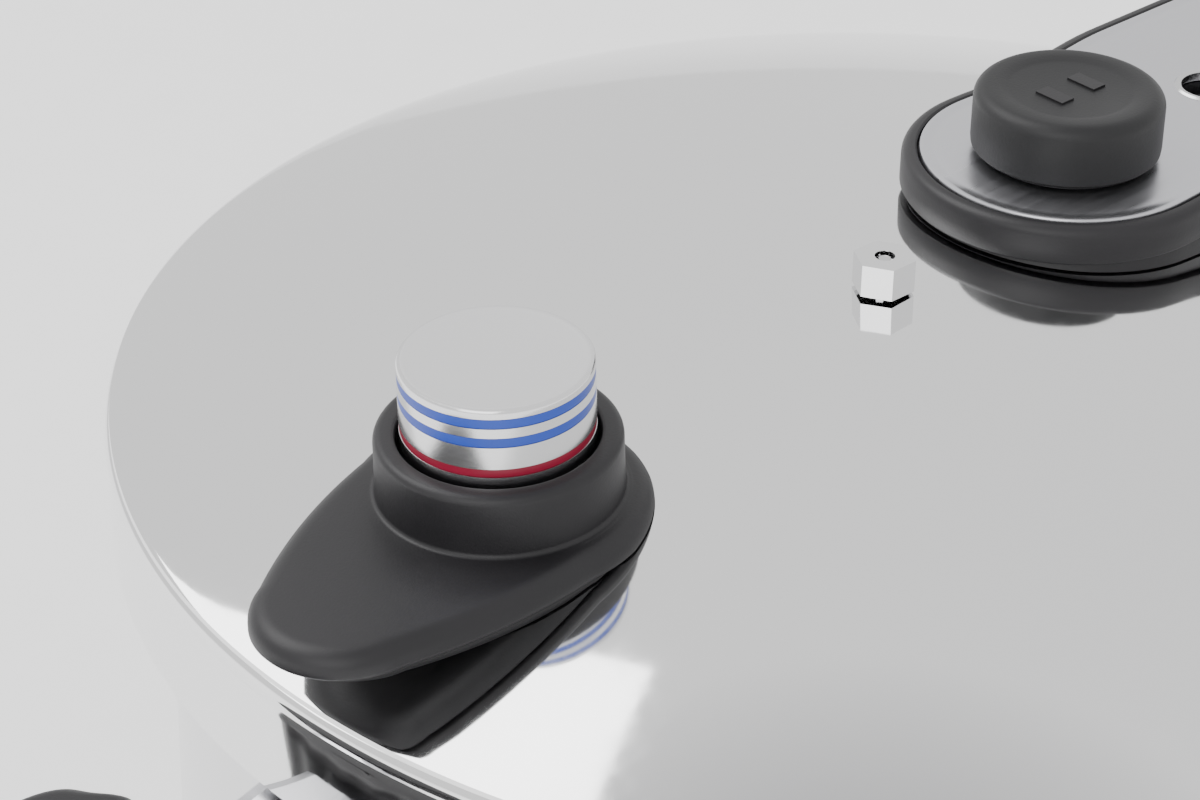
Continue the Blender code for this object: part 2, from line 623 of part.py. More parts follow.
make_pot()
make_base()
make_pot_handle()
make_helper()
make_gasket()
make_lid()
make_housing()
make_indicator()
make_safety()
make_arm()
make_lock()
make_fixings()
make_knob()
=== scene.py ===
"""Looks of the stovetop pressure cooker: finer shells, materials, camera and studio."""

from math import cos, hypot, pi, radians, sin

import bmesh
import bpy
from mathutils import Matrix, Vector


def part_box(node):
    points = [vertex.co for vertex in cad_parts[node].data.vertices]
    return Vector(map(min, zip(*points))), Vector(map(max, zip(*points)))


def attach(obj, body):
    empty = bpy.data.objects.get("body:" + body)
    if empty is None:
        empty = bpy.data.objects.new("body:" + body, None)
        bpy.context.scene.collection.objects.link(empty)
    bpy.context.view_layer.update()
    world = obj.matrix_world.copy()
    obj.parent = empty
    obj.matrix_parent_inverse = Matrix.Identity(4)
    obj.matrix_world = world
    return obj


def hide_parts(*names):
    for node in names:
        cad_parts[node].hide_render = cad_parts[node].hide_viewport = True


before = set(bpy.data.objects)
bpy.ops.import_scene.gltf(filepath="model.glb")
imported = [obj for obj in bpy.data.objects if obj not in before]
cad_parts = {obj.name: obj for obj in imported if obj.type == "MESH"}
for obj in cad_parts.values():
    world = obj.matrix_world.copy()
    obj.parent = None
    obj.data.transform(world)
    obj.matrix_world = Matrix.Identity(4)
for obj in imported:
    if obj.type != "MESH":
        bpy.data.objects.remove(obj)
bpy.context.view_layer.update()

# Driving dimensions in metres; the rim plane is read from the frame
RIM_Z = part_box("lid_shell")[1][2] - 0.0215
LID_R = 0.1195
DOME_H = 0.0215
SKIRT_H = 0.019
POT_R = 0.1112
KNOB_X = 0.030
VALVE_X = -0.0816
VALVE_Z = RIM_Z + 0.0097
VALVE_LEAN = radians(2.75)
HOUSING_TURN = radians(190)
ARM_TOP = RIM_Z + 0.0283
ARM_LOW = RIM_Z + 0.0098
GRIP_TOP = RIM_Z + 0.012
GRIP_LOW = RIM_Z - 0.006
ARM_END = 0.285
SCREW_X = 0.0638         # recess in the handle's plate
PLATE_LIP = 0.0023
ARM_WIDTHS = [(KNOB_X, 0.0244), (0.040, 0.0240), (0.066, 0.0267), (0.088, 0.0267),
              (0.142, 0.0185), (0.178, 0.0155), (0.255, 0.0158), (0.273, 0.0150)]
POT_GRIP_WIDTHS = [(0.1293, 0.0110), (0.150, 0.0140), (0.178, 0.0150), (0.255, 0.0158), (0.273, 0.0150)]


# Materials

def node_material(name):
    made = bpy.data.materials.new(name)
    made.use_nodes = True
    nodes = made.node_tree.nodes
    shader = nodes["Principled BSDF"]
    coords = nodes.new("ShaderNodeTexCoord")
    return made, made.node_tree, shader, coords.outputs["Object"]


def noise(tree, coords, scale, detail=2.0, stretch=None, distortion=0.0):
    """A noise value; stretch multiplies the coordinates first, for brushed and wiped marks."""
    if stretch is not None:
        mapping = tree.nodes.new("ShaderNodeMapping")
        mapping.inputs["Scale"].default_value = stretch
        tree.links.new(coords, mapping.inputs["Vector"])
        coords = mapping.outputs["Vector"]
    made = tree.nodes.new("ShaderNodeTexNoise")
    made.inputs["Scale"].default_value = scale
    made.inputs["Detail"].default_value = detail
    made.inputs["Distortion"].default_value = distortion
    tree.links.new(coords, made.inputs["Vector"])
    return made.outputs["Fac"]


def spread_to(tree, value, low, high):
    """The value, from 0 to 1, moved to low..high."""
    made = tree.nodes.new("ShaderNodeMapRange")
    made.inputs["From Min"].default_value = 0.25
    made.inputs["From Max"].default_value = 0.75
    made.inputs["To Min"].default_value = low
    made.inputs["To Max"].default_value = high
    tree.links.new(value, made.inputs["Value"])
    return made.outputs["Result"]


def tint(tree, value, dark, light):
    """A colour between two, by a value."""
    ramp = tree.nodes.new("ShaderNodeValToRGB")
    ramp.color_ramp.elements[0].position = 0.3
    ramp.color_ramp.elements[0].color = (*dark, 1.0)
    ramp.color_ramp.elements[1].position = 0.7
    ramp.color_ramp.elements[1].color = (*light, 1.0)
    tree.links.new(value, ramp.inputs["Fac"])
    return ramp.outputs["Color"]


def bump(tree, shader, value, strength, distance, below=None):
    made = tree.nodes.new("ShaderNodeBump")
    made.inputs["Strength"].default_value = strength
    made.inputs["Distance"].default_value = distance
    tree.links.new(value, made.inputs["Height"])
    if below is not None:
        tree.links.new(below, made.inputs["Normal"])
    tree.links.new(made.outputs["Normal"], shader.inputs["Normal"])
    return made.outputs["Normal"]


def metal(name, dark, light, rough, grain, stretch=None, wave=0.0, wave_size=18.0, strength=0.15,
          depth=0.00002):
    """A bare metal: slow tone changes, fine marks in the roughness, and a shallow grain."""
    made, tree, shader, coords = node_material(name)
    shader.inputs["Metallic"].default_value = 1.0
    slow = noise(tree, coords, 9.0, 3.0)
    fine = noise(tree, coords, grain, 3.0, stretch)
    tree.links.new(tint(tree, slow, dark, light), shader.inputs["Base Color"])
    tree.links.new(spread_to(tree, fine, *rough), shader.inputs["Roughness"])
    below = None
    if wave:
        below = bump(tree, shader, noise(tree, coords, wave_size, 1.0), wave, 0.0004)
    bump(tree, shader, fine, strength, depth, below)
    return made


def plastic(name, dark, light, rough, grain=2600.0, strength=0.35, depth=0.00006):
    """Moulded plastic or rubber with a fine spark-eroded grain and slightly uneven gloss."""
    made, tree, shader, coords = node_material(name)
    grainy = noise(tree, coords, grain, 3.0)
    slow = noise(tree, coords, 60.0, 4.0)
    tree.links.new(tint(tree, slow, dark, light), shader.inputs["Base Color"])
    tree.links.new(spread_to(tree, slow, *rough), shader.inputs["Roughness"])
    bump(tree, shader, grainy, strength, depth)
    shader.inputs["Specular IOR Level"].default_value = 0.45
    return made


STEEL = metal("steel_mirror", (0.86, 0.86, 0.865), (0.885, 0.885, 0.885), (0.045, 0.080), 340.0,
              strength=0.05, depth=0.00001, wave=0.012)
POT_STEEL = metal("steel_pot", (0.74, 0.74, 0.75), (0.78, 0.78, 0.785), (0.10, 0.17), 700.0, (1.0, 1.0, 9.0),
                  strength=0.08, depth=0.00001)
SATIN = metal("steel_satin", (0.60, 0.60, 0.63), (0.66, 0.66, 0.685), (0.26, 0.36), 900.0, (0.06, 1.0, 1.0))
HARDWARE = metal("steel_hardware", (0.62, 0.62, 0.63), (0.70, 0.70, 0.70), (0.16, 0.26), 1200.0)
CHROME = metal("chrome_bright", (0.80, 0.80, 0.81), (0.86, 0.86, 0.86), (0.05, 0.12), 900.0, strength=0.04)
ALUMINIUM = metal("aluminium_satin", (0.80, 0.80, 0.81), (0.86, 0.86, 0.865), (0.30, 0.40), 5200.0,
                  strength=0.4)
ALUMINIUM_SIDE = metal("aluminium_turned", (0.78, 0.78, 0.79), (0.84, 0.84, 0.845), (0.14, 0.22), 1500.0,
                       (0.25, 0.25, 14.0), strength=0.12)
CORE = metal("aluminium_raw", (0.60, 0.60, 0.60), (0.68, 0.68, 0.68), (0.40, 0.55), 500.0)
BLACK = plastic("plastic_black", (0.0085, 0.0080, 0.0095), (0.013, 0.012, 0.014), (0.40, 0.50))
KNOB_BLACK = plastic("plastic_knob", (0.0075, 0.0075, 0.0085), (0.011, 0.011, 0.012), (0.44, 0.56), 2200.0,
                     0.45)
SILICONE = plastic("silicone_grey", (0.13, 0.13, 0.14), (0.17, 0.17, 0.18), (0.55, 0.70), 900.0, 0.25)
BLUE = plastic("band_blue", (0.018, 0.055, 0.37), (0.026, 0.075, 0.47), (0.26, 0.36), 3000.0, 0.1, 0.00001)
RED = plastic("band_crimson", (0.20, 0.004, 0.022), (0.27, 0.006, 0.032), (0.24, 0.34), 3000.0, 0.1, 0.00001)


# Modelling helpers

def finish(name, mesh, material, body, stands_for=(), sharp=35, matrix=None):
    """Puts a mesh in the scene as a piece that rides on a body."""
    obj = bpy.data.objects.new(name, mesh)
    bpy.context.scene.collection.objects.link(obj)
    if matrix is not None:
        mesh.transform(matrix)
    mesh.materials.append(material)
    mesh.shade_smooth()
    mesh.set_sharp_from_angle(angle=radians(sharp))
    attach(obj, body)
    if stands_for:
        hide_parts(*stands_for)
    return obj


def revolve(profile, steps, ring=False):
    """A mesh turned round Z from (radius, z) points that run down its outer side."""
    bm = bmesh.new()
    columns = []
    for i in range(steps):
        a = 2 * pi * i / steps
        columns.append([bm.verts.new((r * cos(a), r * sin(a), z)) for r, z in profile])
    count = len(profile)
    for i in range(steps):
        here, after = columns[i], columns[(i + 1) % steps]
        for j in range(count if ring else count - 1):
            k = (j + 1) % count
            bm.faces.new((here[j], here[k], after[k], after[j]))
    return closed(bm)


def closed(bm):
    bmesh.ops.remove_doubles(bm, verts=bm.verts, dist=0.000002)
    bmesh.ops.dissolve_degenerate(bm, edges=bm.edges, dist=0.0000005)
    bmesh.ops.recalc_face_normals(bm, faces=bm.faces)
    mesh = bpy.data.meshes.new("piece")
    bm.to_mesh(mesh)
    bm.free()
    return mesh


def skin(rings, cap_first=True, cap_last=True):
    """A closed skin over rings whose points pair off across Y, so each cap is strips from side to side."""
    bm = bmesh.new()
    loops = [[bm.verts.new(point) for point in ring] for ring in rings]
    count = len(rings[0])
    for low, high in zip(loops, loops[1:]):
        for i in range(count):
            j = (i + 1) % count
            bm.faces.new((low[i], low[j], high[j], high[i]))
    for loop, wanted in ((loops[0], cap_first), (loops[-1], cap_last)):
        if wanted:
            for i in range(count // 2):
                four = [loop[i], loop[i + 1], loop[count - 2 - i], loop[count - 1 - i]]
                if len(set(four)) == 4:
                    bm.faces.new(four)
                elif len(set(four)) == 3:
                    bm.faces.new(list(dict.fromkeys(four)))
    return closed(bm)


def smooth_through(stations, x):
    """A value that eases from station to station."""
    if x <= stations[0][0]:
        return stations[0][1]
    for (x0, y0), (x1, y1) in zip(stations, stations[1:]):
        if x <= x1:
            t = (x - x0) / (x1 - x0)
            return y0 + (y1 - y0) * t * t * (3 - 2 * t)
    return stations[-1][1]


def dome_z(r):
    return RIM_Z + DOME_H * (1 - (r / LID_R) ** 2)


def above_lid():
    """A cutter that leaves a piece standing just clear of the lid."""
    profile = [(r, dome_z(r) + 0.0003) for r in (0.1165 * i / 40 for i in range(41))]
    profile += [(0.1189, RIM_Z + 0.0004), (0.140, RIM_Z + 0.0004), (0.140, RIM_Z - 0.05),
                (0.0, RIM_Z - 0.05)]
    return revolve(profile, 192)


def round_over(r, count=6):
    """(inset, drop) pairs of a quarter round, from the side to the top."""
    return [(r * (1 - cos(pi / 2 * i / count)), r * (1 - sin(pi / 2 * i / count))) for i in range(count + 1)]


# Pot

def make_pot():
    lip = RIM_Z - 0.0066
    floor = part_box("pot_body")[0][2]
    wall, corner = 0.0012, 0.011
    profile = [(POT_R - wall, lip - 0.0002), (POT_R - wall * 0.6, lip), (POT_R + 0.0011, lip),
               (POT_R + 0.0016, lip - 0.0005), (POT_R + 0.0016, lip - 0.0014),
               (POT_R + 0.0002, lip - 0.0022), (POT_R, lip - 0.0030)]
    profile += [(POT_R, z) for z in (RIM_Z - 0.0145, RIM_Z - 0.03, RIM_Z - 0.06, floor + 0.05, floor + 0.02)]
    profile += [(POT_R - corner + corner * cos(a), floor + corner - corner * sin(a))
                for a in (pi / 2 * i / 10 for i in range(11))]
    inner = corner - wall
    profile += [(0.06, floor), (0.0, floor), (0.0, floor + wall), (0.06, floor + wall)]
    profile += [(POT_R - corner + inner * sin(a), floor + corner - inner * cos(a))
                for a in (pi / 2 * i / 10 for i in range(11))]
    profile += [(POT_R - wall, z) for z in (floor + 0.02, floor + 0.06, RIM_Z - 0.05)]
    finish("pot_vessel", revolve(profile, 192, ring=True), POT_STEEL, "pot", ("pot_body",),
           30)
    flange = [(POT_R - 0.0004, RIM_Z - 0.0145), (POT_R + 0.0020, RIM_Z - 0.0145),
              (POT_R + 0.0024, RIM_Z - 0.0149), (POT_R + 0.0024, RIM_Z - 0.0161),
              (POT_R + 0.0020, RIM_Z - 0.0165), (POT_R - 0.0004, RIM_Z - 0.0165)]
    finish("pot_flange", revolve(flange, 192, ring=True), POT_STEEL, "pot", (), 30)
    for i in range(6):
        lug = curved_lug(POT_R + 0.0012, POT_R + 0.0038, RIM_Z - 0.0165, RIM_Z - 0.0145, 60 * i, 24)
        finish(f"pot_lug_{i}", lug, POT_STEEL, "pot", (), 30)


def curved_lug(inner, outer, low, high, middle, width):
    """One bayonet lug: a short curved block with eased edges."""
    bm = bmesh.new()
    count = 16
    edge = 0.0003
    section = [(inner, low), (outer - edge, low), (outer, low + edge), (outer, high - edge),
               (outer - edge, high),
               (inner, high)]
    rows = []
    for i in range(count + 1):
        a = radians(middle - width / 2 + width * i / count)
        rows.append([bm.verts.new((r * cos(a), r * sin(a), z)) for r, z in section])
    for here, after in zip(rows, rows[1:]):
        for j in range(len(section)):
            k = (j + 1) % len(section)
            bm.faces.new((here[j], here[k], after[k], after[j]))
    bm.faces.new(rows[0])
    bm.faces.new(list(reversed(rows[-1])))
    return closed(bm)


# Lid

def make_lid():
    sheet = 0.0015
    radii = [0.1165 * i / 40 for i in range(41)]
    profile = [(r, dome_z(r)) for r in radii]
    profile += [(0.1176, RIM_Z + 0.00062), (0.1184, RIM_Z + 0.0003), (0.1188, RIM_Z + 0.0001),
                (0.1191, RIM_Z - 0.0001)]
    bead_z, bead_r = RIM_Z - 0.0025, 0.0018
    profile += [(0.1190 + 0.0009 * cos(a), bead_z + bead_r * sin(a))
                for a in (radians(75 - 15 * i) for i in range(11))]
    profile += [(LID_R - 0.0002, RIM_Z - 0.0047), (LID_R - 0.0001, RIM_Z - 0.0056), (LID_R, RIM_Z - 0.011),
                (LID_R, RIM_Z - SKIRT_H + 0.0004), (LID_R - 0.0004, RIM_Z - SKIRT_H),
                (LID_R - 0.0010, RIM_Z - SKIRT_H), (LID_R - 0.0014, RIM_Z - SKIRT_H + 0.0004),
                (LID_R - 0.0014, RIM_Z - 0.0048), (LID_R - 0.0020, RIM_Z - 0.0030), (0.1168, RIM_Z - 0.0018)]
    profile += [(r, dome_z(r) - sheet) for r in reversed(radii[:-2])]
    lid = finish("lid_dome", revolve(profile, 256), STEEL, "lid", ("lid_shell",), 28)
    hole = revolve([(0.0, 0.03), (0.0054, 0.03), (0.0054, -0.02), (0.0, -0.02)], 48)
    hole.transform(valve_matrix())
    carve(lid, hole)
    for i in range(6):
        lug = curved_lug(LID_R - 0.0009, POT_R + 0.0044, RIM_Z - SKIRT_H, RIM_Z - SKIRT_H + 0.0016, 60 * i,
                         24)
        finish(f"lid_lug_{i}", lug, STEEL, "lid", (), 30)


# Pressure indicator

def valve_matrix():
    return Matrix.Translation((VALVE_X, 0.0, VALVE_Z)) @ Matrix.Rotation(-VALVE_LEAN, 4, "Y")


def egg(inset, draw=0.0):
    """The housing's plan: a circle about the button and a rounded nose, drawn back by some, along +X."""
    big_r, nose_r, nose_u, bulge = 0.0209, 0.0126, 0.0320 - draw, 0.0014
    open_angle = pi / 2 - (big_r - nose_r) / nose_u
    r, tip = big_r - inset, nose_r - inset
    half = []
    for i in range(41):
        a = pi - (pi - open_angle) * i / 40
        half.append((r * cos(a), r * sin(a)))
    start = Vector((r * cos(open_angle), r * sin(open_angle)))
    end = Vector((nose_u + tip * cos(open_angle), tip * sin(open_angle)))
    normal = Vector((cos(open_angle), sin(open_angle)))
    for k in range(1, 16):
        t = k / 16
        half.append(tuple(start.lerp(end, t) + normal * bulge * 4 * t * (1 - t)))
    for i in range(25):
        a = open_angle * (1 - i / 24)
        half.append((nose_u + tip * cos(a), tip * sin(a)))
    return half + [(x, -y) for x, y in reversed(half[1:-1])]


def egg_ring(inset, z, draw=0.0):
    return [(x, y, z) for x, y in egg(inset, draw)]


def collar_ring(radius, z):
    """A circle whose points lie on the same rays as the egg's."""
    return [(radius * x / hypot(x, y), radius * y / hypot(x, y), z) for x, y in egg(0.003)]


def between(first, second, t):
    return [tuple(Vector(a).lerp(Vector(b), t)) for a, b in zip(first, second)]


def make_housing():
    matrix = valve_matrix() @ Matrix.Rotation(HOUSING_TURN, 4, "Z")
    split, top, collar_top = 0.0020, 0.0060, 0.0152
    rings = [egg_ring(0.0030, split + 0.0008), egg_ring(0.0022, split + 0.0002), egg_ring(0.0009, split),
             egg_ring(0.0003, split + 0.0002), egg_ring(0.0, split + 0.0006), egg_ring(0.0, split + 0.0010)]
    edge = 0.0027
    rings += [egg_ring(inset * 1.1, top - drop) for inset, drop in round_over(edge, count=8)]
    rim, foot = rings[-1], collar_ring(0.0176, top + 0.0001)
    rings += [between(rim, foot, t) for t in (0.25, 0.5, 0.75, 0.92)]
    fillet = 0.0007
    rings += [collar_ring(0.0176 - fillet * sin(a), top + 0.0001 + fillet * (1 - cos(a)))
              for a in (pi / 2 * i / 6 for i in range(7))]
    rings += [collar_ring(0.01685, top + 0.0030), collar_ring(0.0168, collar_top - 0.0030)]
    crown = 0.0012
    rings += [collar_ring(0.0168 - inset, collar_top - drop) for inset, drop in round_over(crown)]
    lip = 0.0006
    rings += [collar_ring(0.0138 + inset, collar_top - drop) for inset, drop in reversed(round_over(lip))]
    rings += [collar_ring(0.0138, collar_top - 0.004), collar_ring(0.0138, top - 0.0018)]
    rings += [between(collar_ring(0.0138, top - 0.0018), egg_ring(0.0040, top - 0.0018), t) for t in (0.5,
                                                                                                      1.0)]
    mesh = skin(rings + [rings[0]], False, False)
    foot = above_lid()
    foot.transform(matrix.inverted())
    cover = finish("indicator_cover", mesh, BLACK, "lid", ("housing_upper_shell",), 40)
    carve(cover, foot)
    cover.data.transform(matrix)
    low = split - 0.0003
    walls = [(0.0056, -0.0003, 0.0040), (0.0056, -0.0018, 0.0040), (0.0044, -0.0018, 0.0038),
             (0.0030, -0.0014, 0.0031), (0.0020, -0.0007, 0.0026), (0.0012, 0.0002, 0.0021),
             (0.0007, low - 0.0005, 0.0014), (0.0009, low, 0.0014), (0.0023, low, 0.0014), (0.0030, 0.0008, 0.0022)]
    rings = [egg_ring(*wall) for wall in walls]
    base = finish("indicator_base", skin(rings[1:] + [rings[0]]), BLACK, "lid", ("housing_lower_shell",),
                  40)
    carve(base, foot)
    base.data.transform(matrix)


def make_button():
    matrix = valve_matrix()
    top, low, r = 0.0265, 0.0138, 0.0132
    visible = 0.0106
    bands = (("band_blue_upper", BLUE, 0.125, 0.255), ("band_blue_lower", BLUE, 0.40, 0.53),
             ("band_crimson", RED, 0.855, 0.965))
    groove = 0.00022
    side = [(0.0, top - 0.0001), (0.0115, top - 0.0001), (0.0121, top - 0.00004), (r - 0.0006, top),
            (r - 0.0002, top - 0.0001), (r - 0.00005, top - 0.0003), (r, top - 0.0006)]
    for name, material, start, end in bands:
        z0, z1 = top - visible * start, top - visible * end
        side += [(r, z0 + 0.00006), (r - groove, z0), (r - groove, z1), (r, z1 - 0.00006)]
        band = [(r - groove - 0.0003, z0), (r - 0.00005, z0 - 0.00003), (r - 0.00003, (z0 + z1) / 2),
                (r - 0.00005, z1 + 0.00003), (r - groove - 0.0003, z1)]
        finish(name, revolve(band, 160, ring=True), material, "indicator", (), 40, matrix)
    side += [(r, low + 0.0005), (r - 0.0003, low), (0.0119, low), (0.0117, low + 0.0003),
             (0.0117, top - 0.0022),
             (0.0, top - 0.0022)]
    button = finish("indicator_cap", revolve(side, 160), ALUMINIUM, "indicator", ("indicator_button",),
                    30, matrix)
    button.data.materials.append(ALUMINIUM_SIDE)
    inverse = matrix.inverted()
    for face in button.data.polygons:
        if hypot(*(inverse @ face.center)[:2]) > r - 0.0005:
            face.material_index = 1


# Lid handle

def arm_outline(inset=0.0):
    """Plan of the upper handle, from its inner tip by +Y to its far tip and back: points pair off over Y."""
    r0 = ARM_WIDTHS[0][1] - inset
    half = [(KNOB_X - r0 * cos(pi / 2 * i / 24), r0 * sin(pi / 2 * i / 24)) for i in range(25)]
    end_r = ARM_WIDTHS[-1][1] - inset
    end_x = ARM_END - inset - end_r
    xs = [KNOB_X + (end_x - KNOB_X) * i / 90 for i in range(1, 90)]
    half += [(x, smooth_through(ARM_WIDTHS, x) - inset) for x in xs]
    half += [(end_x + end_r * sin(pi / 2 * i / 20), end_r * cos(pi / 2 * i / 20)) for i in range(21)]
    return half + [(x, -y) for x, y in reversed(half[1:-1])]


def pot_grip_outline(inset=0.0):
    start = POT_GRIP_WIDTHS[0][0] + inset
    first = POT_GRIP_WIDTHS[0][1] - inset
    half = [(start, first * i / 6) for i in range(7)]
    end_r = POT_GRIP_WIDTHS[-1][1] - inset
    end_x = ARM_END - inset - end_r
    xs = [start + (end_x - start) * i / 70 for i in range(1, 70)]
    half += [(x, smooth_through(POT_GRIP_WIDTHS, x) - inset) for x in xs]
    half += [(end_x + end_r * sin(pi / 2 * i / 20), end_r * cos(pi / 2 * i / 20)) for i in range(21)]
    return half + [(x, -y) for x, y in reversed(half[1:-1])]


def arm_top(x):
    return smooth_through([(0.100, ARM_TOP), (0.170, GRIP_TOP)], x)


def arm_low(x):
    return smooth_through([(0.045, RIM_Z + 0.0150), (0.095, ARM_LOW), (0.114, ARM_LOW), (0.150, GRIP_LOW)],
                          x)


def arm_split(x):
    return smooth_through([(0.050, RIM_Z + 0.0222), (0.100, RIM_Z + 0.0180), (0.165, RIM_Z + 0.0019)], x)


def shelf(outline, inset, height, offset):
    """An outline drawn in by inset, lying offset above a height curve along X."""
    return [(x, y, height(x) + offset) for x, y in outline(inset)]


def make_arm():
    rings = [shelf(arm_outline, 0.0012, arm_split, 0.00015), shelf(arm_outline, 0.0003, arm_split, 0.00020),
             shelf(arm_outline, 0.0, arm_split, 0.0006), shelf(arm_outline, 0.0, arm_split, 0.0030)]
    edge = 0.0016
    rings += [shelf(arm_outline, inset, arm_top, -drop) for inset, drop in round_over(edge)]
    rings += [shelf(arm_outline, PLATE_LIP - 0.0003, arm_top, 0.0),
              shelf(arm_outline, PLATE_LIP, arm_top, -0.0003),
              shelf(arm_outline, PLATE_LIP, arm_top, -0.0016)]
    upper = finish("handle_cover", skin(rings), BLACK, "lid", ("handle_upper_shell",), 40)
    ease = 0.0012
    rings = [shelf(arm_outline, 0.0008 + inset, arm_low, drop) for inset, drop in reversed(round_over(ease))]
    rings += [shelf(arm_outline, 0.0008, arm_low, 0.0030), shelf(arm_outline, 0.0008, arm_split, -0.0012),
              shelf(arm_outline, 0.0011, arm_split, -0.00025),
              shelf(arm_outline, 0.0020, arm_split, -0.00015)]
    lower = finish("handle_under", skin(rings), BLACK, "lid", ("handle_lower_shell",), 40)
    inner = PLATE_LIP + 0.0003
    rings = [shelf(arm_outline, inner, arm_top, -0.0013), shelf(arm_outline, inner, arm_top, -0.0002),
             shelf(arm_outline, inner + 0.00015, arm_top, 0.0001),
             shelf(arm_outline, inner + 0.0005, arm_top, 0.0002),
             shelf(arm_outline, inner + 0.0011, arm_top, 0.0001),
             shelf(arm_outline, inner + 0.0016, arm_top, -0.0001),
             shelf(arm_outline, inner + 0.0024, arm_top, 0.0),
             shelf(arm_outline, inner + 0.0040, arm_top, 0.0001)]
    top = finish("handle_plate", skin(rings), SATIN, "lid", ("handle_top_plate",), 40)
    bore = drill(0.0064, ARM_TOP + 0.02, ARM_LOW - 0.02, 48, KNOB_X)
    well = drill(0.0048, ARM_TOP + 0.02, ARM_TOP - 0.006, 48, SCREW_X)
    pocket = box_mesh((0.1755, -0.0065, GRIP_TOP - 0.0075), (0.2220, 0.0065, GRIP_TOP + 0.02))
    window = box_mesh((0.1840, -0.0060, GRIP_TOP - 0.0075), (0.2070, 0.0060, GRIP_TOP + 0.02))
    carve(upper, bore, well, pocket)
    carve(lower, bore, above_lid())
    carve(top, bore, well, window)
    rim = [(0.0045, ARM_TOP + 0.0002), (0.0048, ARM_TOP + 0.0004), (0.0053, ARM_TOP + 0.0004),
           (0.0056, ARM_TOP + 0.0001),
           (0.0053, ARM_TOP - 0.0001), (0.0045, ARM_TOP - 0.0008)]
    finish("plate_eyelet", revolve(rim, 64, ring=True), HARDWARE, "lid", (), 40,
           Matrix.Translation((SCREW_X, 0, 0)))


def drill(radius, top, bottom, steps, x):
    """A round cutter along Z, standing at x."""
    made = revolve([(0.0, top), (radius, top), (radius, bottom), (0.0, bottom)], steps)
    made.transform(Matrix.Translation((x, 0, 0)))
    return made


def box_mesh(low, high):
    bm = bmesh.new()
    size, middle = Vector(high) - Vector(low), (Vector(high) + Vector(low)) / 2
    bmesh.ops.create_cube(bm, size=1.0, matrix=Matrix.Translation(middle) @ Matrix.Diagonal((*size, 1.0)))
    return closed(bm)


def carve(obj, *meshes):
    """Cuts each mesh out of the piece, and keeps the result as its mesh."""
    for mesh in meshes:
        cutter = bpy.data.objects.new("cutter", mesh)
        bpy.context.scene.collection.objects.link(cutter)
        modifier = obj.modifiers.new("cut", "BOOLEAN")
        modifier.operation = "DIFFERENCE"
        modifier.object = cutter
        graph = bpy.context.evaluated_depsgraph_get()
        result = bpy.data.meshes.new_from_object(obj.evaluated_get(graph))
        obj.modifiers.remove(modifier)
        obj.data = result
        bpy.data.objects.remove(cutter, do_unlink=True)


def make_pot_grip():
    def top(x):
        return smooth_through([(0.129, RIM_Z - 0.0200), (0.152, GRIP_LOW - 0.0005)], x)

    def low(x):
        return smooth_through([(0.129, RIM_Z - 0.0400), (0.185, RIM_Z - 0.0240)], x)

    rings = [shelf(pot_grip_outline, inset, low, drop) for inset,
             drop in reversed(round_over(0.0045, count=8))]
    rings += [shelf(pot_grip_outline, inset, top, -drop) for inset, drop in round_over(0.0012)]
    grip = finish("pot_grip", skin(rings), BLACK, "pot", ("pot_handle_grip",), 40)
    hole = drill(0.0036, RIM_Z - 0.0333, RIM_Z - 0.06, 32, 0.1400)
    carve(grip, box_mesh((0.1200, -0.0044, RIM_Z - 0.0334), (0.1506, 0.0044, RIM_Z - 0.0246)), hole)


def helper_outline(inset=0.0):
    centre, depth, half_y = -0.1473, 0.0157 - inset, 0.0250 - inset
    half = []
    for i in range(61):
        a = pi * i / 60
        c, s = cos(a), sin(a)
        y = half_y * abs(s) ** 0.75
        x = depth * abs(c) ** 0.75 * (1 if c > 0 else -1)
        if c > 0:
            x -= 0.0009 * (0.5 - 0.5 * cos(2 * pi * y / 0.0078)) * min(1.0, c * 2)
        half.append((centre + x, y))
    return half + [(x, -y) for x, y in reversed(half[1:-1])]


def make_helper_grip():
    low, top = RIM_Z - 0.0355, RIM_Z - 0.0185
    rings = [[(x, y, low + drop) for x, y in helper_outline(inset)]
             for inset, drop in reversed(round_over(0.0035, count=8))]
    rings += [[(x, y, top - drop) for x, y in helper_outline(inset)] for inset,
              drop in round_over(0.0026, count=8)]
    rings += [[(x, y, top) for x, y in helper_outline(0.0060)]]
    grip = finish("helper_tab", skin(rings), BLACK, "pot", ("helper_grip",), 40)
    hole = drill(0.0036, RIM_Z - 0.0303, RIM_Z - 0.06, 32, -0.1430)
    carve(grip, box_mesh((-0.1486, -0.0044, RIM_Z - 0.0304), (-0.1200, 0.0044, RIM_Z - 0.0236)), hole)


def make_knob():
    plate_z, top, r = ARM_TOP + 0.0002, ARM_TOP + 0.0108, 0.0143
    edge = 0.0021
    profile = [(0.0, top - 0.0004), (0.0090, top - 0.0004), (0.0096, top - 0.0003), (0.0106, top),
               (r - edge, top)]
    profile += [(r - edge + edge * sin(a), top - edge + edge * cos(a))
                for a in (pi / 16 * i for i in range(1, 9))]
    profile += [(r, plate_z + 0.0022), (r - 0.0001, plate_z + 0.0014), (r - 0.0006, plate_z + 0.0009),
                (r - 0.0015, plate_z + 0.0008), (r - 0.0015, plate_z + 0.0003), (0.0036, plate_z + 0.0003),
                (0.0036, ARM_TOP + 0.0060), (0.0, ARM_TOP + 0.0060)]
    at = Matrix.Translation((KNOB_X, 0, 0))
    finish("selector_cap", revolve(profile, 128), KNOB_BLACK, "selector", ("selector_knob",),
           35, at)
    for i, x in enumerate((-0.0035, 0.0035)):
        mark = box_mesh((x - 0.0013, -0.0026, top - 0.0006), (x + 0.0013, 0.0026, top - 0.0001))
        finish(f"selector_mark_{i}", mark, BLACK, "selector", (), 35, at)


# Carried-over nodes

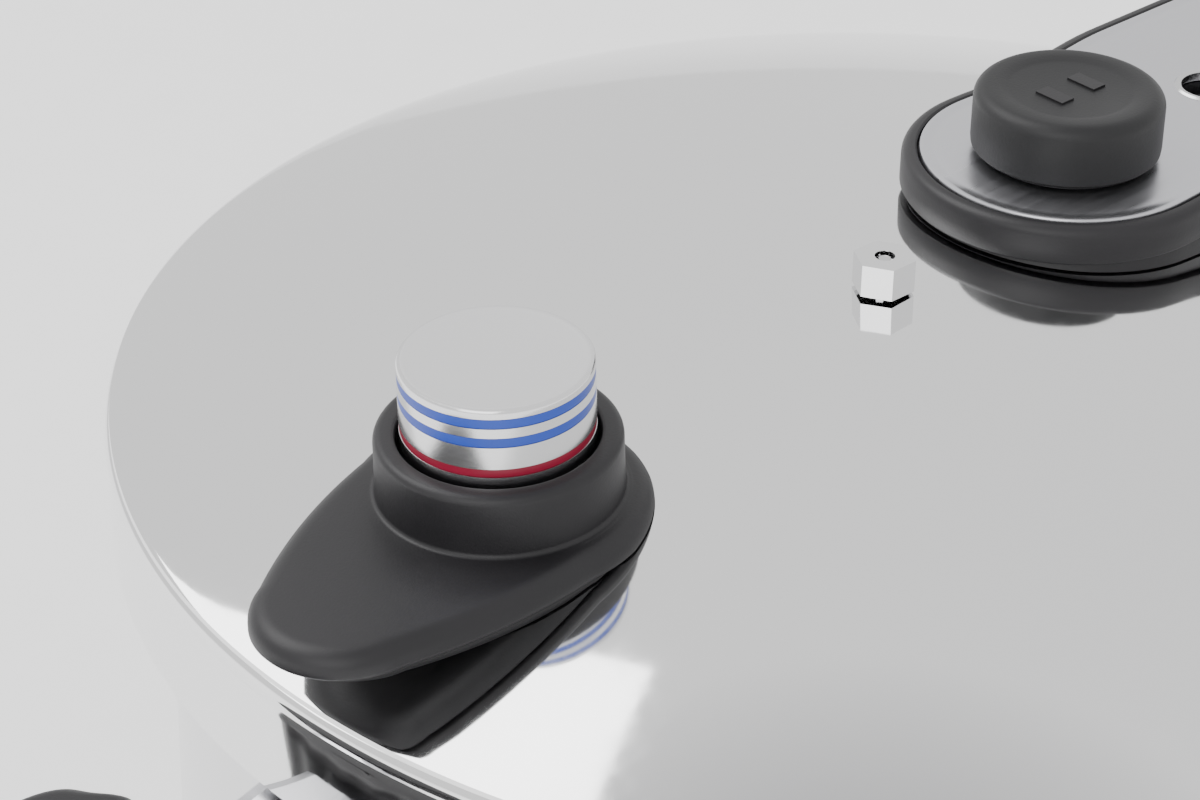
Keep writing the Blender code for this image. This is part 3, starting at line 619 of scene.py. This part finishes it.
def paint(material, *names):
    for name in names:
        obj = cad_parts[name]
        if not obj.material_slots:
            obj.data.materials.append(material)
        for entry in obj.material_slots:
            entry.material = material


def paint_frame():
    paint(SATIN, "pot_handle_ferrule", "helper_ferrule", "base_cap", "rim_bracket")
    paint(HARDWARE, "pot_handle_screw", "helper_screw", "valve_sleeve", "valve_nut", "indicator_stem",
          "handle_bolt",
          "indicator_spring", "safety_plunger", "safety_spring", "safety_nut", "handle_screw",
          "selector_spindle",
          "spindle_clip", "lock_spring")
    paint(CHROME, "safety_valve_body")
    paint(CORE, "base_core")
    paint(BLACK, "lock_slider")
    paint(SILICONE, "sealing_gasket", "valve_seal", "indicator_seal", "safety_seal", "bolt_seal")


# Studio

def make_camera():
    data = bpy.data.cameras.new("camera")
    data.sensor_width = 36.0
    data.lens = 113.13
    data.clip_start = 0.01
    camera = bpy.data.objects.new("camera", data)
    bpy.context.scene.collection.objects.link(camera)
    forward = Vector((0.583, 0.625, -0.519)).normalized()
    up = Vector((0.338, 0.394, 0.855))
    right = forward.cross(up).normalized()
    up = right.cross(forward)
    turn = Matrix((right, up, -forward)).transposed()
    camera.matrix_world = Matrix.Translation((-0.3629, -0.32047, RIM_Z + 0.28816)) @ turn.to_4x4()
    bpy.context.scene.camera = camera


def area_light(name, place, target, size, power):
    data = bpy.data.lights.new(name, "AREA")
    data.shape = "RECTANGLE"
    data.size, data.size_y = size
    data.energy = power
    light = bpy.data.objects.new(name, data)
    bpy.context.scene.collection.objects.link(light)
    light.location = place
    light.rotation_euler = (Vector(target) - Vector(place)).to_track_quat("-Z", "Y").to_euler()


def make_studio():
    bm = bmesh.new()
    bmesh.ops.create_grid(bm, x_segments=1, y_segments=1, size=6.0)
    floor = bpy.data.objects.new("floor", closed(bm))
    bpy.context.scene.collection.objects.link(floor)
    white = plastic("floor_paper", (0.94, 0.94, 0.94), (0.96, 0.96, 0.96), (0.75, 0.85), 300.0, 0.05)
    glow = white.node_tree.nodes["Principled BSDF"]
    glow.inputs["Emission Color"].default_value = (1.0, 1.0, 1.0, 1.0)
    glow.inputs["Emission Strength"].default_value = 0.35
    floor.data.materials.append(white)
    world = bpy.data.worlds.new("studio")
    bpy.context.scene.world = world
    world.use_nodes = True
    tree = world.node_tree
    direction = tree.nodes.new("ShaderNodeTexCoord")
    height = tree.nodes.new("ShaderNodeSeparateXYZ")
    ramp = tree.nodes.new("ShaderNodeValToRGB")
    ramp.color_ramp.elements[0].position = 0.90
    ramp.color_ramp.elements[0].color = (1.0, 1.0, 1.0, 1.0)
    ramp.color_ramp.elements[1].position = 0.97
    ramp.color_ramp.elements[1].color = (0.62, 0.62, 0.63, 1.0)
    tree.links.new(direction.outputs["Generated"], height.inputs["Vector"])
    tree.links.new(height.outputs["Z"], ramp.inputs["Fac"])
    tree.links.new(ramp.outputs["Color"], tree.nodes["Background"].inputs["Color"])
    tree.nodes["Background"].inputs["Strength"].default_value = 1.15
    area_light("key", (-0.5, 0.9, 1.5), (0, 0, 0.15), (1.2, 1.2), 18)
    area_light("fill", (-1.2, -0.6, 0.9), (0, 0, 0.15), (1.0, 1.0), 6)


make_camera()
make_pot()
make_lid()
make_housing()
make_button()
make_arm()
make_pot_grip()
make_helper_grip()
make_knob()
paint_frame()
make_studio()
